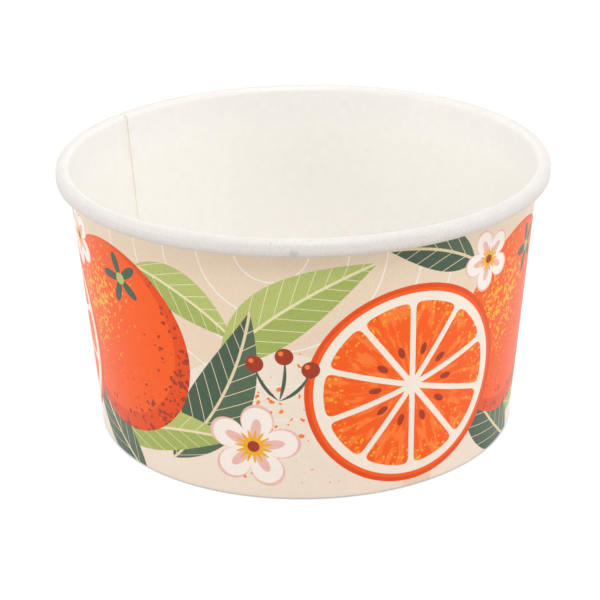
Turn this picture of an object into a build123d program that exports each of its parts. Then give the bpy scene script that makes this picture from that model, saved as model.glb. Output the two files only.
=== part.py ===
from build123d import *
import math
import os

# Paper dessert cup. A fan of printed board is wrapped into a cone and lapped at a side seam, its top
# edge is rolled outwards into a rim and its bottom edge is folded inwards and up as a hem. A round base
# of thinner board has its edge turned down as a skirt, which is sealed between the wall and the hem.
# Millimetres, +Z up, origin on the table at the centre of the foot.

# Driving sizes: the cup
rim_diameter = 96.0
cup_height = 53.7
foot_diameter = 82.9  # where the wall's printed face would meet the table

# Driving sizes: board and the coating that seals it
wall_board = 0.36
base_board = 0.30
seal_film = 0.05

# Driving sizes: rolled rim
rim_width = 2.6  # from the wall's white face to the outside of the roll
rim_depth = 3.3
rim_clearance = 0.05  # between the doubled wall and the edge that the roll brings back to it

# Driving sizes: foot
hem_height = 5.0
base_height = 6.5  # from the table to the underside of the base
base_bend = 0.8  # inside radius where the skirt turns down
skirt_clearance = 0.15  # between the skirt's cut edge and the floor of the hem

# Driving sizes: side seam
seam_angle = 143.0  # cut edge of the inner layer, counter-clockwise from +X
seam_lap = 8.0
seam_climb = 3.0  # length in which the outer layer climbs on to the inner one
seam_foot = 3.0  # height below which the lap is pressed to one thickness
seam_start = 7.5  # height above which the lap is two boards thick

# Turns of the board are drawn as short flats: these on a turn's outer face, half as many on its inner one
roll_flat_count = 6
under_flat_count = 5
bend_flat_count = 2
fold_flat_count = 1

# The wall's slope: its printed face starts at the foot's edge and its white face is tangent to the roll
foot_radius = foot_diameter / 2
roll_radius = rim_width / 2
roll_centre = Vector(rim_diameter / 2 - roll_radius, cup_height - roll_radius)
run = roll_centre.X - foot_radius
rise = roll_centre.Y
taper = math.atan2(run, rise) - math.asin((roll_radius - wall_board) / math.hypot(run, rise))

# The underside of the roll: a tighter turn that brings the edge back to just clear of the doubled wall
return_depth = 2 * wall_board + rim_clearance
turn_in = 1 + math.cos(taper)
lean_in = math.sin(taper)
turn_room = roll_radius * turn_in + (rim_depth - roll_radius) * lean_in - return_depth
under_radius = turn_room / (turn_in + lean_in)
under_centre = Vector(rim_diameter / 2 - under_radius, cup_height - rim_depth + under_radius)

# The pocket between wall and hem, which holds the skirt of the base
pocket = base_board + 2 * seal_film

# Directions in the section, in radians from straight out: along the wall's normal, and round the turns
quarter = math.pi / 2
from_wall = math.pi - taper
to_wall = -math.pi - taper


def wall_point(depth, height):
    """Point at a depth outwards from the wall's white face, at a height above the table."""
    radius = foot_radius + (depth - wall_board) / math.cos(taper) + height * math.tan(taper)
    return Vector(radius, height)


def turn(centre, radius, start, end, flat_count):
    """Points of a turn about a centre, from one direction to another, in equal flats."""
    angles = [start + (end - start) * step / flat_count for step in range(flat_count + 1)]
    return [centre + Vector(math.cos(angle), math.sin(angle)) * radius for angle in angles]


def inner(flat_count):
    """Number of flats on the inner face of a turn."""
    return (flat_count + 1) // 2


def foot_lines():
    """Section lines of the hem and the foot's fold, from the hem's top: white face, then printed face."""
    white = [wall_point(-pocket, hem_height), wall_point(-pocket, wall_board), wall_point(0, wall_board)]
    printed = [wall_point(-pocket - wall_board, hem_height)]
    printed += turn(white[1], wall_board, from_wall, math.pi + quarter, fold_flat_count)
    printed += turn(white[2], wall_board, -quarter, -taper, fold_flat_count)
    return white, printed


def rim_lines(lift):
    """Section lines of the rolled rim, from the wall's top: white face, then printed face.

    lift is how far the top of the roll stands off to lie over another layer. Its underside is pressed.
    """
    white = turn(roll_centre, roll_radius - lift, from_wall, 0, roll_flat_count)
    white += turn(under_centre, under_radius, 0, to_wall, under_flat_count)
    printed = turn(roll_centre, roll_radius - wall_board - lift, from_wall, 0, inner(roll_flat_count))
    printed += turn(under_centre, under_radius - wall_board, 0, to_wall, inner(under_flat_count))
    return white, printed


def section(one_side, other_side, angle):
    """Face between two section lines, in the half-plane at an angle about Z."""
    outline = Polyline(*one_side, *reversed(other_side), close=True)
    return Rotation(0, 0, angle) * (Plane.XZ * make_face(outline))


def layer_section(angle):
    """One layer of the wall, with its hem and rim."""
    foot_white, foot_printed = foot_lines()
    rim_white, rim_printed = rim_lines(0)
    return section(foot_white + rim_white, foot_printed + rim_printed, angle)


def climb_section(lift, angle):
    """One layer of the wall that stands off by the lift above the pressed foot."""
    foot_white, foot_printed = foot_lines()
    rim_white, rim_printed = rim_lines(lift)
    wall_white = [wall_point(0, seam_foot), wall_point(lift, seam_start)]
    wall_printed = [wall_point(wall_board, seam_foot), wall_point(wall_board + lift, seam_start)]
    white = foot_white + wall_white + rim_white
    printed = foot_printed + wall_printed + rim_printed
    return section(white, printed, angle)


def lap_section(angle):
    """The outer layer where it lies on the inner one, from half-way into the inner layer's board."""
    half_board = wall_board / 2
    half_lift = (seam_start - seam_foot) * half_board / wall_board
    bonded = [wall_point(half_board, seam_foot - half_lift)]
    bonded += turn(roll_centre, roll_radius - half_board, from_wall, 0, roll_flat_count)
    printed = [wall_point(2 * wall_board, seam_start)]
    printed += turn(roll_centre, roll_radius - 2 * wall_board, from_wall, 0, inner(roll_flat_count))
    return section(bonded, printed, angle)


def make_sidewall():
    """Lapped, rolled and hemmed board: a layer round the cup, its climb on to itself, and the lap."""
    seam_radius = (wall_point(0, 0).X + wall_point(0, cup_height).X) / 2
    lap = math.degrees(seam_lap / seam_radius)
    climb = math.degrees(seam_climb / seam_radius)
    climb_end = seam_angle + climb
    round_wall = revolve(layer_section(climb_end), Axis.Z, 360 - climb)
    lap_wall = revolve(lap_section(seam_angle - lap), Axis.Z, lap)
    climb_wall = loft([climb_section(wall_board, seam_angle), climb_section(0, climb_end)], ruled=True)
    return round_wall + lap_wall + climb_wall


def make_base():
    """Flat round base with its edge turned down as a skirt, parallel to the wall."""
    skirt_foot = wall_board + skirt_clearance
    bend_depth = seal_film + base_board + base_bend
    bend_centre = wall_point(-bend_depth, base_height - base_bend)
    outside = [Vector(0, base_height + base_board)]
    outside += turn(bend_centre, base_bend + base_board, quarter, -taper, bend_flat_count)
    outside.append(wall_point(-seal_film, skirt_foot))
    inside = [Vector(0, base_height)]
    inside += turn(bend_centre, base_bend, quarter, -taper, inner(bend_flat_count))
    inside.append(wall_point(-seal_film - base_board, skirt_foot))
    return revolve(section(outside, inside, 0), Axis.Z, 360)


os.makedirs("parts", exist_ok=True)
export_step(make_sidewall(), "parts/sidewall.step")
export_step(make_base(), "parts/base_disc.step")
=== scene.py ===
import bmesh
import bpy
import math
import numpy as np
from mathutils import Matrix, Vector


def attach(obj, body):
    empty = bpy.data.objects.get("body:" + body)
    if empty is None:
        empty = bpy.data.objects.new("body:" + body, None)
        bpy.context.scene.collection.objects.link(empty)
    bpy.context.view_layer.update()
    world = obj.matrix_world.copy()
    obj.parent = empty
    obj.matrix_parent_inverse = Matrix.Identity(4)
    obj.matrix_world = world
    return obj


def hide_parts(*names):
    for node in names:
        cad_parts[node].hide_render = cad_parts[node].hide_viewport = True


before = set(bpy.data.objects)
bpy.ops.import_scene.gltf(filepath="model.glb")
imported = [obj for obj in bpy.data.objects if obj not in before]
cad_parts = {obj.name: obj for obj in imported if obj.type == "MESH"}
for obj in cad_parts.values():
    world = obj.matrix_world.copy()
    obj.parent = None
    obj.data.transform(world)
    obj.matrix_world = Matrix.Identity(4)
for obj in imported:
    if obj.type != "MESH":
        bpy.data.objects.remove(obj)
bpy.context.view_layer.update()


# The sidewall: one fan of coated cup board, printed on the outside. It is wrapped into a cone and lapped
# at the side seam, its top edge is rolled outwards into the rim, and its bottom edge is folded in and up
# as a hem. Lengths are in millimetres, down to the studio.
MM = 0.001
RIM_RADIUS = 48.0
CUP_HEIGHT = 53.7
FOOT_RADIUS = 41.45  # where the printed face would meet the table
BOARD = 0.36
ROLL_RADIUS = 1.3
RIM_DEPTH = 3.3
RIM_CLEARANCE = 0.05
POCKET = 0.40  # room between wall and hem for the skirt of the base
HEM_HEIGHT = 5.0
PRINT_BLEED = 2.0  # height to which the print runs up the hem
SEAM_ANGLE = 143.0  # cut edge of the inner layer, in degrees
SEAM_LAP = 8.0
SEAM_CLIMB = 3.0
SEAM_FOOT = 3.0  # height below which the lap is pressed to one thickness
SEAM_START = 7.5  # height above which the lap is two boards thick
ROW_MARGIN = 1.0  # from a turn to the nearest row of points
PRESSED_STEPS = 3
WALL_STEPS = 11

roll_centre = np.array([RIM_RADIUS - ROLL_RADIUS, CUP_HEIGHT - ROLL_RADIUS])
run = roll_centre[0] - FOOT_RADIUS
rise = roll_centre[1]
taper = math.atan2(run, rise) - math.asin((ROLL_RADIUS - BOARD) / math.hypot(run, rise))
turn_in = 1 + math.cos(taper)
lean_in = math.sin(taper)
turn_room = ROLL_RADIUS * turn_in + (RIM_DEPTH - ROLL_RADIUS) * lean_in - 2 * BOARD - RIM_CLEARANCE
under_radius = turn_room / (turn_in + lean_in)
under_centre = np.array([RIM_RADIUS - under_radius, CUP_HEIGHT - RIM_DEPTH + under_radius])
quarter = math.pi / 2
from_wall = math.pi - taper
to_wall = -math.pi - taper


def wall_point(depth, height):
    """Point in section at a depth outwards from the wall's white face, at a height above the table."""
    radius = FOOT_RADIUS + (depth - BOARD) / math.cos(taper) + height * math.tan(taper)
    return np.array([radius, height])


def turn(centre, radius, start, end, steps):
    """Points in section of a turn of the board about a centre."""
    angles = np.linspace(start, end, steps + 1)
    return [centre + radius * np.array([math.cos(angle), math.sin(angle)]) for angle in angles]


def wall_rows(depth, lift):
    """Points up one face of the wall, which stands off by the lift above the pressed foot."""
    pressed = np.linspace(SEAM_FOOT, SEAM_START, PRESSED_STEPS + 1)
    upper = np.linspace(SEAM_START, rise - ROW_MARGIN, WALL_STEPS + 1)
    heights = np.array([ROW_MARGIN, *pressed, *upper[1:]])
    shares = np.clip((heights - SEAM_FOOT) / (SEAM_START - SEAM_FOOT), 0, 1)
    return [wall_point(depth + lift * share, height) for share, height in zip(shares, heights)]


COATED, PRINTED, BARE, EDGE = range(4)
ROLL_STEPS = 16
UNDER_STEPS = 14
FOLD_STEPS = 5


def wall_loop(white_lift, printed_lift):
    """Closed section of the board: its points, and the finish of the face after each point."""
    white = [wall_point(-POCKET, HEM_HEIGHT), wall_point(-POCKET, BOARD), wall_point(0, BOARD)]
    white += wall_rows(0, white_lift)
    white += turn(roll_centre, ROLL_RADIUS - white_lift, from_wall, 0, ROLL_STEPS)
    white += turn(under_centre, under_radius, 0, to_wall, UNDER_STEPS)
    hem = [wall_point(-POCKET - BOARD, HEM_HEIGHT), wall_point(-POCKET - BOARD, PRINT_BLEED)]
    wall = turn(wall_point(-POCKET, BOARD), BOARD, from_wall, math.pi + quarter, FOLD_STEPS)
    wall += turn(wall_point(0, BOARD), BOARD, -quarter, -taper, FOLD_STEPS)
    wall += wall_rows(BOARD, printed_lift)
    wall += turn(roll_centre, ROLL_RADIUS - BOARD - printed_lift, from_wall, 0, ROLL_STEPS // 2)
    wall += turn(under_centre, under_radius - BOARD, 0, to_wall, UNDER_STEPS // 2)
    points = white + wall[::-1] + hem[::-1]
    finish = [COATED] * (len(white) - 1) + [EDGE]
    finish += [PRINTED] * len(wall) + [BARE] + [EDGE]
    return np.array(points), finish


# Sections round the cup, each with its bearing and the lift of its white and of its printed face: the
# climb on to the lap, the single wall, and the lap. Where a bearing comes twice, a cut edge stands.
CLIMB_STEPS = 8
ROUND_STEPS = 399
LAP_STEPS = 10
SAME_BEARING = 1e-6
seam_radius = (wall_point(0, 0)[0] + wall_point(0, CUP_HEIGHT)[0]) / 2
lap = math.degrees(SEAM_LAP / seam_radius)
climb = math.degrees(SEAM_CLIMB / seam_radius)
sections = []
for share in np.linspace(0, 1, CLIMB_STEPS + 1):
    lift = BOARD * (1 - share)
    sections.append((SEAM_ANGLE + climb * share, lift, lift))
for angle in np.linspace(SEAM_ANGLE + climb, SEAM_ANGLE + 360 - lap, ROUND_STEPS + 1)[1:]:
    sections.append((angle, 0, 0))
for angle in np.linspace(SEAM_ANGLE + 360 - lap, SEAM_ANGLE + 360, LAP_STEPS + 1):
    sections.append((angle, 0, BOARD))

points, faces, finishes = [], [], []
for number, (angle, white_lift, printed_lift) in enumerate(sections):
    loop, finish = wall_loop(white_lift, printed_lift)
    bearing = math.radians(angle)
    points += [(out * math.cos(bearing), out * math.sin(bearing), height) for out, height in loop]
    size = len(loop)
    following = (number + 1) % len(sections)
    cut = abs((sections[following][0] - angle) % 360) < SAME_BEARING
    here, there = number * size, following * size
    for k in range(size):
        after = (k + 1) % size
        faces.append((here + k, there + k, there + after, here + after))
        finishes.append(EDGE if cut else finish[k])
mesh = bpy.data.meshes.new("sidewall_board")
mesh.from_pydata(np.array(points) * MM, [], faces)
mesh.polygons.foreach_set("material_index", finishes)

SHARP_TURN = math.radians(35)
WELD = 0.002


def weld(mesh):
    """Joins points that fall together, turns faces outwards, shades turns smooth and cut edges sharp."""
    work = bmesh.new()
    work.from_mesh(mesh)
    bmesh.ops.remove_doubles(work, verts=work.verts, dist=WELD * MM)
    bmesh.ops.recalc_face_normals(work, faces=work.faces)
    work.to_mesh(mesh)
    work.free()
    mesh.shade_smooth()
    mesh.set_sharp_from_angle(angle=SHARP_TURN)


weld(mesh)
sidewall = bpy.data.objects.new("sidewall_board", mesh)
bpy.context.scene.collection.objects.link(sidewall)


def colour(text):
    """Linear colour of an sRGB hex code."""
    values = [int(text[place:place + 2], 16) / 255 for place in (1, 3, 5)]
    return tuple(v / 12.92 if v <= 0.04045 else ((v + 0.055) / 1.055) ** 2.4 for v in values) + (1.0,)


def new_material(name):
    """Material with an empty node tree, and that tree."""
    material = bpy.data.materials.new(name)
    material.use_nodes = True
    material.node_tree.nodes.clear()
    return material, material.node_tree


def add(tree, kind, values, **settings):
    """Adds a node with its settings. Values fill its inputs in order or by name, and nodes are linked."""
    node = tree.nodes.new("ShaderNode" + kind)
    for name, setting in settings.items():
        setattr(node, name, setting)
    if isinstance(values, dict):
        pairs = [(node.inputs[name], value) for name, value in values.items()]
    else:
        pairs = zip([socket for socket in node.inputs if socket.enabled], values)
    for socket, value in pairs:
        if isinstance(value, bpy.types.Node):
            value = next(output for output in value.outputs if output.enabled)
        if isinstance(value, bpy.types.NodeSocket):
            tree.links.new(value, socket)
        else:
            socket.default_value = value
    return node


# Every face of the board shows its fibres as a fine grain of tone and relief. The real grain of about
# 0.1 mm is drawn coarser, so that it shows.
GRAIN = 0.32
RELIEF_DEPTH = 0.1


def fibre_face(tree, place, tone, grain, relief, roughness, ior):
    """Gives a face its tone with the fibres' grain and relief, under a surface of that roughness."""
    fibre = add(tree, "TexNoise", {"Vector": place, "Scale": 1 / (GRAIN * MM), "Detail": 2.0})
    grained = add(tree, "Mix", [grain, tone, fibre], data_type="RGBA", blend_type="SOFT_LIGHT")
    bump = add(tree, "Bump", {"Strength": relief, "Distance": RELIEF_DEPTH * MM, "Height": fibre})
    surface = {"Base Color": grained, "Roughness": roughness, "IOR": ior, "Normal": bump}
    add(tree, "OutputMaterial", [add(tree, "BsdfPrincipled", surface)])


# Inside and rim, white board under a thin polyethylene coat: a warm white with a soft satin sheen,
# faintly clouded by flocs of fibre. Towards the outside of the roll the white is painted darker and
# cooler, as painted shade, and darker still where it turns under, also painted shade. Handling has left
# marks, each between two points and faded over a fringe: a smudge and a scratch on the roll's front,
# a speck and a nick inside.
FLOC = 1.8
FLOC_SHADES = 0.988, 1.014
NOISE_SPREAD = 0.3, 0.7
ROLL_SHADE_WIDTH = 3.2
UNDER_SHADE_WIDTH = 1.2
UNDER_SHADE_START = 1.7
MARKS = (((-2.5, -47.93, 51.5), (-1.4, -47.98, 51.5), 1.1, "#B0A8A3", 0.50),
         ((-6.2, -47.44, 53.0), (-5.5, -47.16, 53.4), 0.05, "#BDB7B1", 0.60),
         ((-32.4, 30.15, 38.9), (-32.4, 30.15, 39.1), 0.25, "#D5CFC6", 0.70),
         ((-35.9, 25.2, 33.0), (-35.4, 25.8, 33.0), 0.10, "#D9C9AF", 0.80))


def clouded(tree, place, tone):
    """Tone of a coated face with the faint clouds of its flocs."""
    cloud = add(tree, "TexNoise", {"Vector": place, "Scale": 1 / (FLOC * MM), "Detail": 4.0})
    thickness = add(tree, "MapRange", [cloud, *NOISE_SPREAD, *FLOC_SHADES])
    return add(tree, "Mix", [1.0, tone, thickness], data_type="RGBA", blend_type="MULTIPLY")


coated, tree = new_material("polyethylene coated board")
place = add(tree, "TexCoord", []).outputs["Object"]
flat_place = add(tree, "VectorMath", [place, (1 / MM, 1 / MM, 0)], operation="MULTIPLY")
off_axis = add(tree, "VectorMath", [flat_place], operation="LENGTH")
# Painted shade: the white turns darker and cooler towards the outside of the roll.
roll_shade = add(tree, "MapRange", [off_axis, RIM_RADIUS - ROLL_SHADE_WIDTH, RIM_RADIUS])
white = add(tree, "Mix", [roll_shade, colour("#FBF8F3"), colour("#DDD8D3")], data_type="RGBA")
height = add(tree, "SeparateXYZ", [place]).outputs["Z"]
# Painted shade: darker still on the outside of the roll where it turns under.
outer = add(tree, "MapRange", [off_axis, RIM_RADIUS - UNDER_SHADE_WIDTH, RIM_RADIUS])
lower = add(tree, "MapRange", [height, (CUP_HEIGHT - UNDER_SHADE_START) * MM, (CUP_HEIGHT - RIM_DEPTH) * MM])
under_roll_shade = add(tree, "Math", [outer, lower], operation="MULTIPLY")
white = add(tree, "Mix", [under_roll_shade, white, colour("#C8BFB6")], data_type="RGBA")
for one_end, other_end, fringe, tone, strength in MARKS:
    from_one = add(tree, "VectorMath", [place, Vector(one_end) * MM], operation="DISTANCE")
    from_other = add(tree, "VectorMath", [place, Vector(other_end) * MM], operation="DISTANCE")
    way_round = add(tree, "Math", [from_one, from_other], operation="ADD")
    length = math.dist(one_end, other_end)
    share = add(tree, "MapRange", [way_round, length * MM, (length + fringe) * MM, strength, 0.0])
    white = add(tree, "Mix", [share, white, colour(tone)], data_type="RGBA")
fibre_face(tree, place, clouded(tree, place, white), grain=0.45, relief=0.14, roughness=0.42, ior=1.5)

# Uncoated board, seen on the hem inside the foot and under the base: matt, and creamier than the coat.
bare, tree = new_material("uncoated board")
place = add(tree, "TexCoord", []).outputs["Object"]
fibre_face(tree, place, colour("#ECE5D9"), grain=1.0, relief=0.20, roughness=0.85, ior=1.45)

# Cut edge of the board: the pulp shows cream between the two faces, and matt.
edge, tree = new_material("cut edge of board")
place = add(tree, "TexCoord", []).outputs["Object"]
fibre_face(tree, place, colour("#F8F1E2"), grain=1.0, relief=0.10, roughness=0.90, ior=1.45)

# Printed face of the board: flat inks under a thin satin varnish, which pales the print at grazing
# angles. The print repeats three times round the cup. Its places are in millimetres along the wall's
# girth, from the middle of a repeat, and up the wall from the table.
REPEATS = 3
INK_EDGE = 0.09  # width over which an ink fades at its edge
CREAM, PALE, LINE = colour("#E9D5BC"), colour("#F0E2D1"), colour("#F6EDE1")
DARK_GREEN, LIGHT_GREEN = colour("#475C49"), colour("#B5C06E")
DARK_INKS = DARK_GREEN, colour("#536952"), colour("#E3D2AE")
LIGHT_INKS = LIGHT_GREEN, colour("#A3B25E"), colour("#E6DFB4")
ORANGE, PEEL, SHADE = colour("#F65C0C"), colour("#FB7A2E"), colour("#E54C0C")
MAROON, YELLOW, PITH = colour("#A13820"), colour("#F2AE24"), colour("#F4E9DB")
PETAL, PINK = colour("#F8EEE6"), colour("#EBBCB1")

printed, tree = new_material("printed board")
board_place = add(tree, "TexCoord", []).outputs["Object"]
across, forth, height = add(tree, "SeparateXYZ", [board_place]).outputs
towards_front = add(tree, "Math", [forth, -1.0], operation="MULTIPLY")
bearing = add(tree, "Math", [across, towards_front], operation="ARCTAN2")
flat_place = add(tree, "VectorMath", [board_place, (1 / MM, 1 / MM, 0)], operation="MULTIPLY")
girth_radius = add(tree, "VectorMath", [flat_place], operation="LENGTH")
up_wall = add(tree, "Math", [height, 1 / MM / math.cos(taper)], operation="MULTIPLY")
half_repeat = math.pi / REPEATS


def repeat_place(middle):
    """Place in the repeat whose middle is at that bearing. Shapes stay clear of the repeat's ends."""
    turned = add(tree, "Math", [bearing, middle], operation="SUBTRACT")
    wrapped = add(tree, "Math", [turned, half_repeat, -half_repeat], operation="WRAP")
    along = add(tree, "Math", [wrapped, girth_radius], operation="MULTIPLY")
    return add(tree, "CombineXYZ", [along, up_wall])


def ink_over(ground, distance, reach, ink):
    """Prints an ink over the ground wherever the distance is less than the reach."""
    full = reach / INK_EDGE + 0.5
    cover = add(tree, "Math", [distance, -1 / INK_EDGE, full], operation="MULTIPLY_ADD", use_clamp=True)
    return add(tree, "Mix", [cover, ground, ink], data_type="RGBA")


def disc(ground, place, middle, radius, ink):
    """Round spot."""
    distance = add(tree, "VectorMath", [place, (*middle, 0)], operation="DISTANCE")
    return ink_over(ground, distance, radius, ink)


def ripples(ground, place, middle, spacing, count, width, ink):
    """Thin rings about a point, evenly spaced."""
    distance = add(tree, "VectorMath", [place, (*middle, 0)], operation="DISTANCE")
    ring = add(tree, "Math", [distance, spacing / 2], operation="PINGPONG")
    past_last = add(tree, "Math", [distance, (count + 0.5) * spacing], operation="SUBTRACT")
    outside = add(tree, "Math", [ring, past_last], operation="MAXIMUM")
    return ink_over(ground, outside, width / 2, ink)


def stipple(ground, place, middle, dense, sparse, spacing, size, ink):
    """Rough specks in patches, thick at one distance from a point and gone at another."""
    coarseness, patchiness, bare_share = 0.8, 0.9, 0.45
    wander = add(tree, "TexNoise", {"Vector": place, "Scale": coarseness / spacing, "Detail": 1.0},
                 noise_dimensions="2D")
    drift = add(tree, "VectorMath", [wander.outputs["Color"], (spacing, spacing, 0), place],
                operation="MULTIPLY_ADD")
    cells = add(tree, "TexVoronoi", {"Vector": drift, "Scale": 1 / spacing}, voronoi_dimensions="2D")
    chance = add(tree, "SeparateXYZ", [cells.outputs["Color"]])
    away = add(tree, "VectorMath", [place, (*middle, 0)], operation="DISTANCE")
    thinning = add(tree, "MapRange", [away, dense, sparse, 0.0, -1.0])
    patchy = add(tree, "Math", [wander, patchiness, thinning], operation="MULTIPLY_ADD")
    kept = add(tree, "Math", [chance, patchy], operation="ADD")
    shrink = add(tree, "Math", [kept, -size, bare_share * size], operation="MULTIPLY_ADD")
    outside = add(tree, "Math", [cells, spacing, shrink], operation="MULTIPLY_ADD")
    return ink_over(ground, outside, 0.0, ink)


BASE_FULLNESS = 0.18  # how far the widest place lies towards the base, in half lengths


def long_shape(place, base, tip, width, bend):
    """Bent shape, pointed at both ends: places along it, off its middle line, and out of its edge."""
    base, tip = Vector(base), Vector(tip)
    half = (tip - base).length / 2
    lean = math.atan2(tip.y - base.y, tip.x - base.x)
    crown = (base + tip) / 2 + bend * Vector((-math.sin(lean), math.cos(lean)))
    own = add(tree, "Mapping", {"Vector": place, "Location": (*crown, 0), "Rotation": (0, 0, lean)},
              vector_type="TEXTURE")
    along, across = add(tree, "SeparateXYZ", [own]).outputs[:2]
    squared = add(tree, "Math", [along, along], operation="MULTIPLY")
    off_line = add(tree, "Math", [squared, bend / half ** 2, across], operation="MULTIPLY_ADD")
    from_line = add(tree, "Math", [off_line], operation="ABSOLUTE")
    fuller = add(tree, "Math", [squared, -BASE_FULLNESS / half, along], operation="MULTIPLY_ADD")
    unbent = add(tree, "CombineXYZ", [fuller, from_line])
    arc = (half ** 2 + width ** 2 / 4) / width
    centre = (-BASE_FULLNESS * half, width / 2 - arc, 0)
    from_centre = add(tree, "VectorMath", [unbent, centre], operation="DISTANCE")
    past_edge = add(tree, "Math", [from_centre, arc], operation="SUBTRACT")
    from_middle = add(tree, "Math", [along], operation="ABSOLUTE")
    past_end = add(tree, "Math", [from_middle, half], operation="SUBTRACT")
    outside = add(tree, "Math", [past_edge, past_end], operation="MAXIMUM")
    return along, off_line, outside


def stalk(ground, place, base, tip, width, bend, ink):
    """Thin bent stalk."""
    outside = long_shape(place, base, tip, width, bend)[2]
    return ink_over(ground, outside, 0.0, ink)


VEIN_SLANT = 1.2
VEIN_SPACING = 3.6
VEIN_WIDTH = 0.22
RIB_WIDTH = 0.56


def leaf(ground, place, base, tip, width, bend, inks):
    """Leaf with a darker half, a midrib and side veins."""
    blade, shade, vein = inks
    along, off_line, outside = long_shape(place, base, tip, width, bend)
    halves = ink_over(blade, off_line, 0.0, shade)
    from_rib = add(tree, "Math", [off_line], operation="ABSOLUTE")
    slant = add(tree, "Math", [from_rib, -VEIN_SLANT, along], operation="MULTIPLY_ADD")
    from_vein = add(tree, "Math", [slant, VEIN_SPACING / 2], operation="PINGPONG")
    veined = ink_over(halves, from_vein, VEIN_WIDTH / 2, vein)
    ribbed = ink_over(veined, from_rib, RIB_WIDTH / 2, vein)
    return ink_over(ground, outside, 0.0, ribbed)


def petals(ground, place, middle, count, heart, reach, sharpness, lean, ink):
    """Ring of round petals, or of points where the sharpness is high, from a heart to a reach."""
    own = add(tree, "VectorMath", [place, (*middle, 0)], operation="SUBTRACT")
    along, up = add(tree, "SeparateXYZ", [own]).outputs[:2]
    out = add(tree, "VectorMath", [own], operation="LENGTH")
    angle = add(tree, "Math", [up, along], operation="ARCTAN2")
    start = -math.radians(lean) * count / 2
    turned = add(tree, "Math", [angle, count / 2, start], operation="MULTIPLY_ADD")
    wave = add(tree, "Math", [turned], operation="COSINE")
    crest = add(tree, "Math", [wave], operation="ABSOLUTE")
    swelling = add(tree, "Math", [crest, sharpness], operation="POWER")
    past_heart = add(tree, "Math", [swelling, heart - reach, out], operation="MULTIPLY_ADD")
    return ink_over(ground, past_heart, heart, ink)


def blossom(ground, place, middle, radius, lean):
    """Five outlined petals with pink throats about a yellow heart."""
    ground = petals(ground, place, middle, count=5, heart=0.42 * radius, reach=radius,
                    sharpness=0.55, lean=lean, ink=PINK)
    ground = petals(ground, place, middle, count=5, heart=0.40 * radius, reach=0.93 * radius,
                    sharpness=0.55, lean=lean, ink=PETAL)
    ground = petals(ground, place, middle, count=5, heart=0.10 * radius, reach=0.66 * radius,
                    sharpness=2.5, lean=lean, ink=PINK)
    ground = petals(ground, place, middle, count=15, heart=0.22 * radius, reach=0.40 * radius,
                    sharpness=3.0, lean=lean, ink=YELLOW)
    return disc(ground, place, middle, 0.13 * radius, MAROON)


def berries(ground, place, joint, radius):
    """Three berries on thin stalks, each with a highlight. Their places and bends are in radii."""
    for along, up, bend in ((-2.6, 4.4, 0.5), (0.6, 5.4, -0.3), (3.4, 3.8, -0.6)):
        berry = (joint[0] + along * radius, joint[1] + up * radius)
        glint = (berry[0] - 0.35 * radius, berry[1] + 0.38 * radius)
        ground = stalk(ground, place, joint, berry, width=0.7, bend=bend * radius, ink=DARK_GREEN)
        ground = disc(ground, place, berry, radius, MAROON)
        ground = disc(ground, place, glint, 0.28 * radius, PEEL)
    return ground


def whole_fruit(ground, place, middle, radius):
    """Round fruit: shaded at one side, with light and dark specks and a green star at its stalk."""
    glow = (middle[0] - 0.07 * radius, middle[1] + 0.08 * radius)
    light = (middle[0] - 0.35 * radius, middle[1] + 0.30 * radius)
    top = (middle[0] + 0.22 * radius, middle[1] + 0.66 * radius)
    skin = disc(SHADE, place, glow, 0.91 * radius, ORANGE)
    skin = stipple(skin, place, light, dense=0.15 * radius, sparse=0.95 * radius, spacing=0.9,
                   size=0.60, ink=YELLOW)
    skin = stipple(skin, place, light, dense=1.45 * radius, sparse=0.70 * radius, spacing=1.3,
                   size=0.75, ink=MAROON)
    ground = disc(ground, place, middle, radius, skin)
    ground = petals(ground, place, top, count=5, heart=0.05 * radius, reach=0.27 * radius,
                    sharpness=2.2, lean=35, ink=DARK_GREEN)
    return disc(ground, place, top, 0.06 * radius, LIGHT_GREEN)


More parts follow.
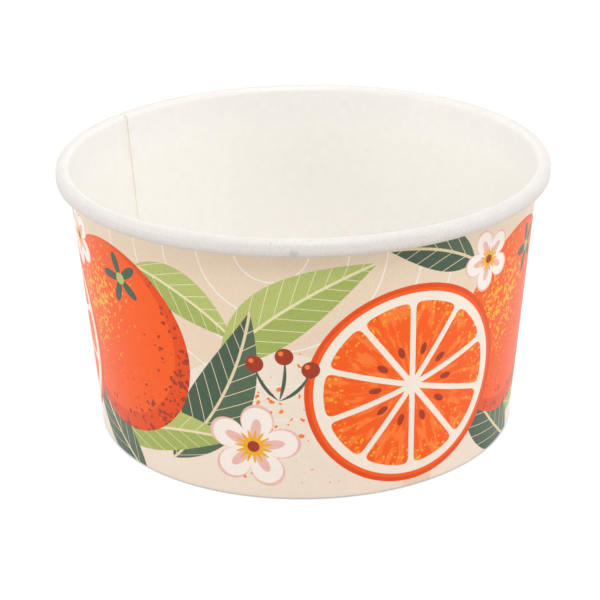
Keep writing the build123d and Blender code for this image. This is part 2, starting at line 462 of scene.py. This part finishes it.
def citrus_wheel(ground, place, middle, radius, segments):
    """Cut face of a citrus fruit: peel, pith, and segments of flesh with streaks, specks and a pip."""
    half_gap, flesh_reach, corner = 0.028 * radius, 0.83 * radius, 0.11 * radius
    streaks_in_radian, streaks_in_mm = 9.0, 0.22
    pip_place, pip_length, pip_slimness = 0.36 * radius, 0.06 * radius, 2.0
    own = add(tree, "VectorMath", [place, (*middle, 0)], operation="SUBTRACT")
    along, up = add(tree, "SeparateXYZ", [own]).outputs[:2]
    out = add(tree, "VectorMath", [own], operation="LENGTH")
    angle = add(tree, "Math", [up, along], operation="ARCTAN2")
    half = math.pi / segments
    folded = add(tree, "Math", [angle, half, -half], operation="WRAP")
    off_middle = add(tree, "Math", [folded], operation="ABSOLUTE")
    to_side = add(tree, "Math", [half, off_middle], operation="SUBTRACT")
    sine = add(tree, "Math", [to_side], operation="SINE")
    to_gap = add(tree, "Math", [sine, out, -half_gap], operation="MULTIPLY_ADD")
    to_pith = add(tree, "Math", [flesh_reach, out], operation="SUBTRACT")
    inside = add(tree, "Math", [to_gap, to_pith, corner], operation="SMOOTH_MIN")
    outside = add(tree, "Math", [inside, -1.0], operation="MULTIPLY")
    fan = add(tree, "Math", [angle, streaks_in_radian], operation="MULTIPLY")
    stretch = add(tree, "Math", [out, streaks_in_mm], operation="MULTIPLY")
    streaks = add(tree, "CombineXYZ", [fan, stretch])
    juice = add(tree, "TexNoise", {"Vector": streaks, "Scale": 1.0, "Detail": 2.0},
                noise_dimensions="2D")
    paler = add(tree, "MapRange", [juice, 0.50, 0.60])
    flesh = add(tree, "Mix", [paler, ORANGE, PEEL], data_type="RGBA")
    flesh = stipple(flesh, place, middle, dense=0.9 * radius, sparse=0.35 * radius, spacing=1.0,
                    size=0.45, ink=YELLOW)
    sideways = add(tree, "Math", [folded, out], operation="MULTIPLY")
    slimmer = add(tree, "Math", [sideways, pip_slimness], operation="MULTIPLY")
    unrolled = add(tree, "CombineXYZ", [out, slimmer])
    flesh = disc(flesh, unrolled, (pip_place, 0), pip_length, MAROON)
    ground = ink_over(ground, out, radius, SHADE)
    ground = ink_over(ground, out, 0.955 * radius, ORANGE)
    ground = ink_over(ground, out, 0.92 * radius, PITH)
    return ink_over(ground, outside, 0.0, flesh)


front = repeat_place(0.0)
side = repeat_place(half_repeat)
art = disc(CREAM, front, middle=(-6, 6), radius=25, ink=PALE)
art = disc(art, side, middle=(-2, 0), radius=17, ink=PALE)
art = ripples(art, front, middle=(-6, 52), spacing=7.0, count=5, width=0.28, ink=LINE)
art = stipple(art, front, middle=(-8, 16), dense=4, sparse=20, spacing=1.8, size=0.55, ink=PEEL)
art = leaf(art, side, base=(13, 44), tip=(33, 33), width=9, bend=2.0, inks=LIGHT_INKS)
art = leaf(art, front, base=(34, 44), tip=(15, 50), width=8, bend=-1.5, inks=DARK_INKS)
art = leaf(art, front, base=(-16, 28), tip=(13, 48), width=11.5, bend=2.5, inks=LIGHT_INKS)
art = leaf(art, front, base=(-27, 5), tip=(-10, 39), width=12, bend=-3.0, inks=DARK_INKS)
art = leaf(art, front, base=(-44, 5), tip=(-13, 12), width=10, bend=2.5, inks=LIGHT_INKS)
art = leaf(art, side, base=(9, -2), tip=(-14, 24), width=11.5, bend=2.5, inks=DARK_INKS)
art = whole_fruit(art, side, middle=(4, 27), radius=19.5)
art = citrus_wheel(art, front, middle=(20, 22), radius=20.5, segments=10)
art = berries(art, front, joint=(-5, 21), radius=1.7)
art = blossom(art, front, middle=(-10, 11), radius=9.0, lean=10)
art = blossom(art, front, middle=(38, 43), radius=6.5, lean=40)
fibre_face(tree, board_place, art, grain=0.35, relief=0.08, roughness=0.36, ior=1.33)

for material in (coated, printed, bare, edge):
    mesh.materials.append(material)
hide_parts("sidewall")
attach(sidewall, "root")


# The base: a disc of thinner coated board. Its edge is turned down as a skirt, which is sealed between
# the wall and the hem, so the disc stands clear of the table.
BASE_BOARD = 0.30
BASE_HEIGHT = 6.5
BASE_BEND = 0.8
SEAL_FILM = 0.05
SKIRT_FOOT = 0.51
BEND_STEPS = 6
FLAT_STEPS = 11
BASE_STEPS = 240
HUB_RADIUS = 0.6  # of the fan of faces in the middle
TOP, UNDER, RAW = range(3)

bend_centre = wall_point(-SEAL_FILM - BASE_BOARD - BASE_BEND, BASE_HEIGHT - BASE_BEND)
flat = np.linspace(HUB_RADIUS, bend_centre[0] - ROW_MARGIN, FLAT_STEPS + 1)
top = [np.array([radius, BASE_HEIGHT + BASE_BOARD]) for radius in flat]
top += turn(bend_centre, BASE_BEND + BASE_BOARD, quarter, -taper, BEND_STEPS)
top.append(wall_point(-SEAL_FILM, SKIRT_FOOT))
under = [np.array([radius, BASE_HEIGHT]) for radius in flat]
under += turn(bend_centre, BASE_BEND, quarter, -taper, BEND_STEPS)
under.append(wall_point(-SEAL_FILM - BASE_BOARD, SKIRT_FOOT))
loop = np.array(top + under[::-1])
finish = [TOP] * (len(top) - 1) + [RAW] + [UNDER] * (len(under) - 1)
size = len(loop)
points = [(0, 0, BASE_HEIGHT + BASE_BOARD), (0, 0, BASE_HEIGHT)]
faces, finishes = [], []
for number in range(BASE_STEPS):
    bearing = 2 * math.pi * number / BASE_STEPS
    points += [(out * math.cos(bearing), out * math.sin(bearing), height) for out, height in loop]
    here, there = 2 + number * size, 2 + (number + 1) % BASE_STEPS * size
    faces += [(here + k, there + k, there + k + 1, here + k + 1) for k in range(size - 1)]
    finishes += finish
    faces += [(0, here, there), (1, there + size - 1, here + size - 1)]
    finishes += [TOP, UNDER]
mesh = bpy.data.meshes.new("base_board")
mesh.from_pydata(np.array(points) * MM, [], faces)
mesh.polygons.foreach_set("material_index", finishes)
weld(mesh)

# Its upper face has the wall's polyethylene coat, on board that is thinner, with its white painted
# a little darker than the wall's as painted shade, so that its brightly lit face does not burn out.
base_coat, tree = new_material("polyethylene coated base board")
place = add(tree, "TexCoord", []).outputs["Object"]
base_shaded_white = clouded(tree, place, colour("#F0EDE8"))
fibre_face(tree, place, base_shaded_white, grain=0.45, relief=0.14, roughness=0.42, ior=1.5)

for material in (base_coat, bare, edge):
    mesh.materials.append(material)
base = bpy.data.objects.new("base_board", mesh)
bpy.context.scene.collection.objects.link(base)
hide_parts("base_disc")
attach(base, "root")


# The studio: a white paper sweep, a white surround, and soft lamps high in front, above the cup and on
# both sides. Lengths are in metres.
FLOOR_HALF = 2.0
FLOOR_HEIGHT = -0.0001
CONTACT_SHADOW = 0.00045
CONTACT_GLOW, OPEN_GLOW = 0.30, 0.86
SQUARE = (-1, -1), (1, -1), (1, 1), (-1, 1)
corners = [(FLOOR_HALF * x, FLOOR_HALF * y, FLOOR_HEIGHT) for x, y in SQUARE]
mesh = bpy.data.meshes.new("floor")
mesh.from_pydata(corners, [], [(0, 1, 2, 3)])
floor = bpy.data.objects.new("floor", mesh)
bpy.context.scene.collection.objects.link(floor)


def shown(tree):
    """1 on rays from the camera, straight or by way of a mirror or glass, and 0 on the rest."""
    ray = add(tree, "LightPath", []).outputs
    relayed = add(tree, "Math", [ray["Is Glossy Ray"], ray["Is Transmission Ray"]], operation="MAXIMUM")
    return add(tree, "Math", [ray["Is Camera Ray"], relayed], operation="MAXIMUM")


# The sweep is white paper to the light. To the eye it burns out to pure white, apart from the cup's
# shadow, which is a thin line where the two meet.
paper, tree = new_material("white paper sweep")
card = add(tree, "BsdfDiffuse", [colour("#F1EFED")])
shaded = add(tree, "BsdfDiffuse", [colour("#7C7C7C")])
nearness = add(tree, "AmbientOcclusion", {"Distance": CONTACT_SHADOW}).outputs["AO"]
level = add(tree, "MapRange", [nearness, 0.0, 1.0, CONTACT_GLOW, OPEN_GLOW])
glow = add(tree, "Emission", [colour("#FFFFFF"), level])
burnt_out = add(tree, "AddShader", [shaded, glow])
add(tree, "OutputMaterial", [add(tree, "MixShader", [shown(tree), card, burnt_out])])
mesh.materials.append(paper)

# The surround lights the cup softly, more from behind than from in front.
FRONT_LIGHT, BACK_LIGHT = 0.28, 0.95
FRONT_END, BACK_END = -0.2, 0.6
world = bpy.data.worlds.new("studio")
bpy.context.scene.world = world
world.use_nodes = True
tree = world.node_tree
tree.nodes.clear()
direction = add(tree, "TexCoord", []).outputs["Generated"]
behind = add(tree, "SeparateXYZ", [direction]).outputs["Y"]
backdrop = add(tree, "MapRange", [behind, FRONT_END, BACK_END, FRONT_LIGHT, BACK_LIGHT])
strength = add(tree, "Math", [shown(tree), backdrop], operation="MAXIMUM")
add(tree, "OutputWorld", [add(tree, "Background", [colour("#FFFFFF"), strength])])

CUP_MIDDLE = Vector((0, 0, 0.03))


def softbox(name, position, width, power):
    """Square lamp that faces the cup."""
    lamp = bpy.data.lights.new(name, "AREA")
    lamp.size = width
    lamp.energy = power
    box = bpy.data.objects.new(name, lamp)
    box.location = position
    box.rotation_euler = (CUP_MIDDLE - box.location).to_track_quat("-Z", "Y").to_euler()
    bpy.context.scene.collection.objects.link(box)


softbox("front_lamp", (0.08, -0.62, 1.12), width=0.45, power=7.1)
softbox("top_lamp", (0.0, 0.1, 1.3), width=0.8, power=1.0)
softbox("left_lamp", (-1.4, -0.42, 0.4), width=0.8, power=7.0)
softbox("right_lamp", (1.35, -0.42, 0.5), width=1.0, power=6.6)

# The camera: a long lens that looks down on the cup from in front, rolled a little, with no shift.
IMAGE_PIXELS = 600
FOCAL_PIXELS = 1914.3
SENSOR = 36.0
DISTANCE = 0.38491
ELEVATION = math.radians(22.88)
ROLL = math.radians(-0.853)
LOOKS_AT = np.array([-0.00096, 0.0, 0.022632])
forward = np.array([0, math.cos(ELEVATION), -math.sin(ELEVATION)])
right = np.array([1.0, 0, 0])
up = np.array([0, math.sin(ELEVATION), math.cos(ELEVATION)])
tilted_right = math.cos(ROLL) * right + math.sin(ROLL) * up
tilted_up = -math.sin(ROLL) * right + math.cos(ROLL) * up
eye = LOOKS_AT - DISTANCE * forward
stand = np.eye(4)
stand[:3] = np.column_stack([tilted_right, tilted_up, -forward, eye])
lens = bpy.data.cameras.new("camera")
lens.sensor_fit = "HORIZONTAL"
lens.sensor_width = SENSOR
lens.lens = FOCAL_PIXELS / IMAGE_PIXELS * SENSOR
lens.clip_start = 0.01
camera = bpy.data.objects.new("camera", lens)
camera.matrix_world = Matrix(stand.tolist())
bpy.context.scene.collection.objects.link(camera)
bpy.context.scene.camera = camera
bpy.context.scene.view_settings.view_transform = "Standard"
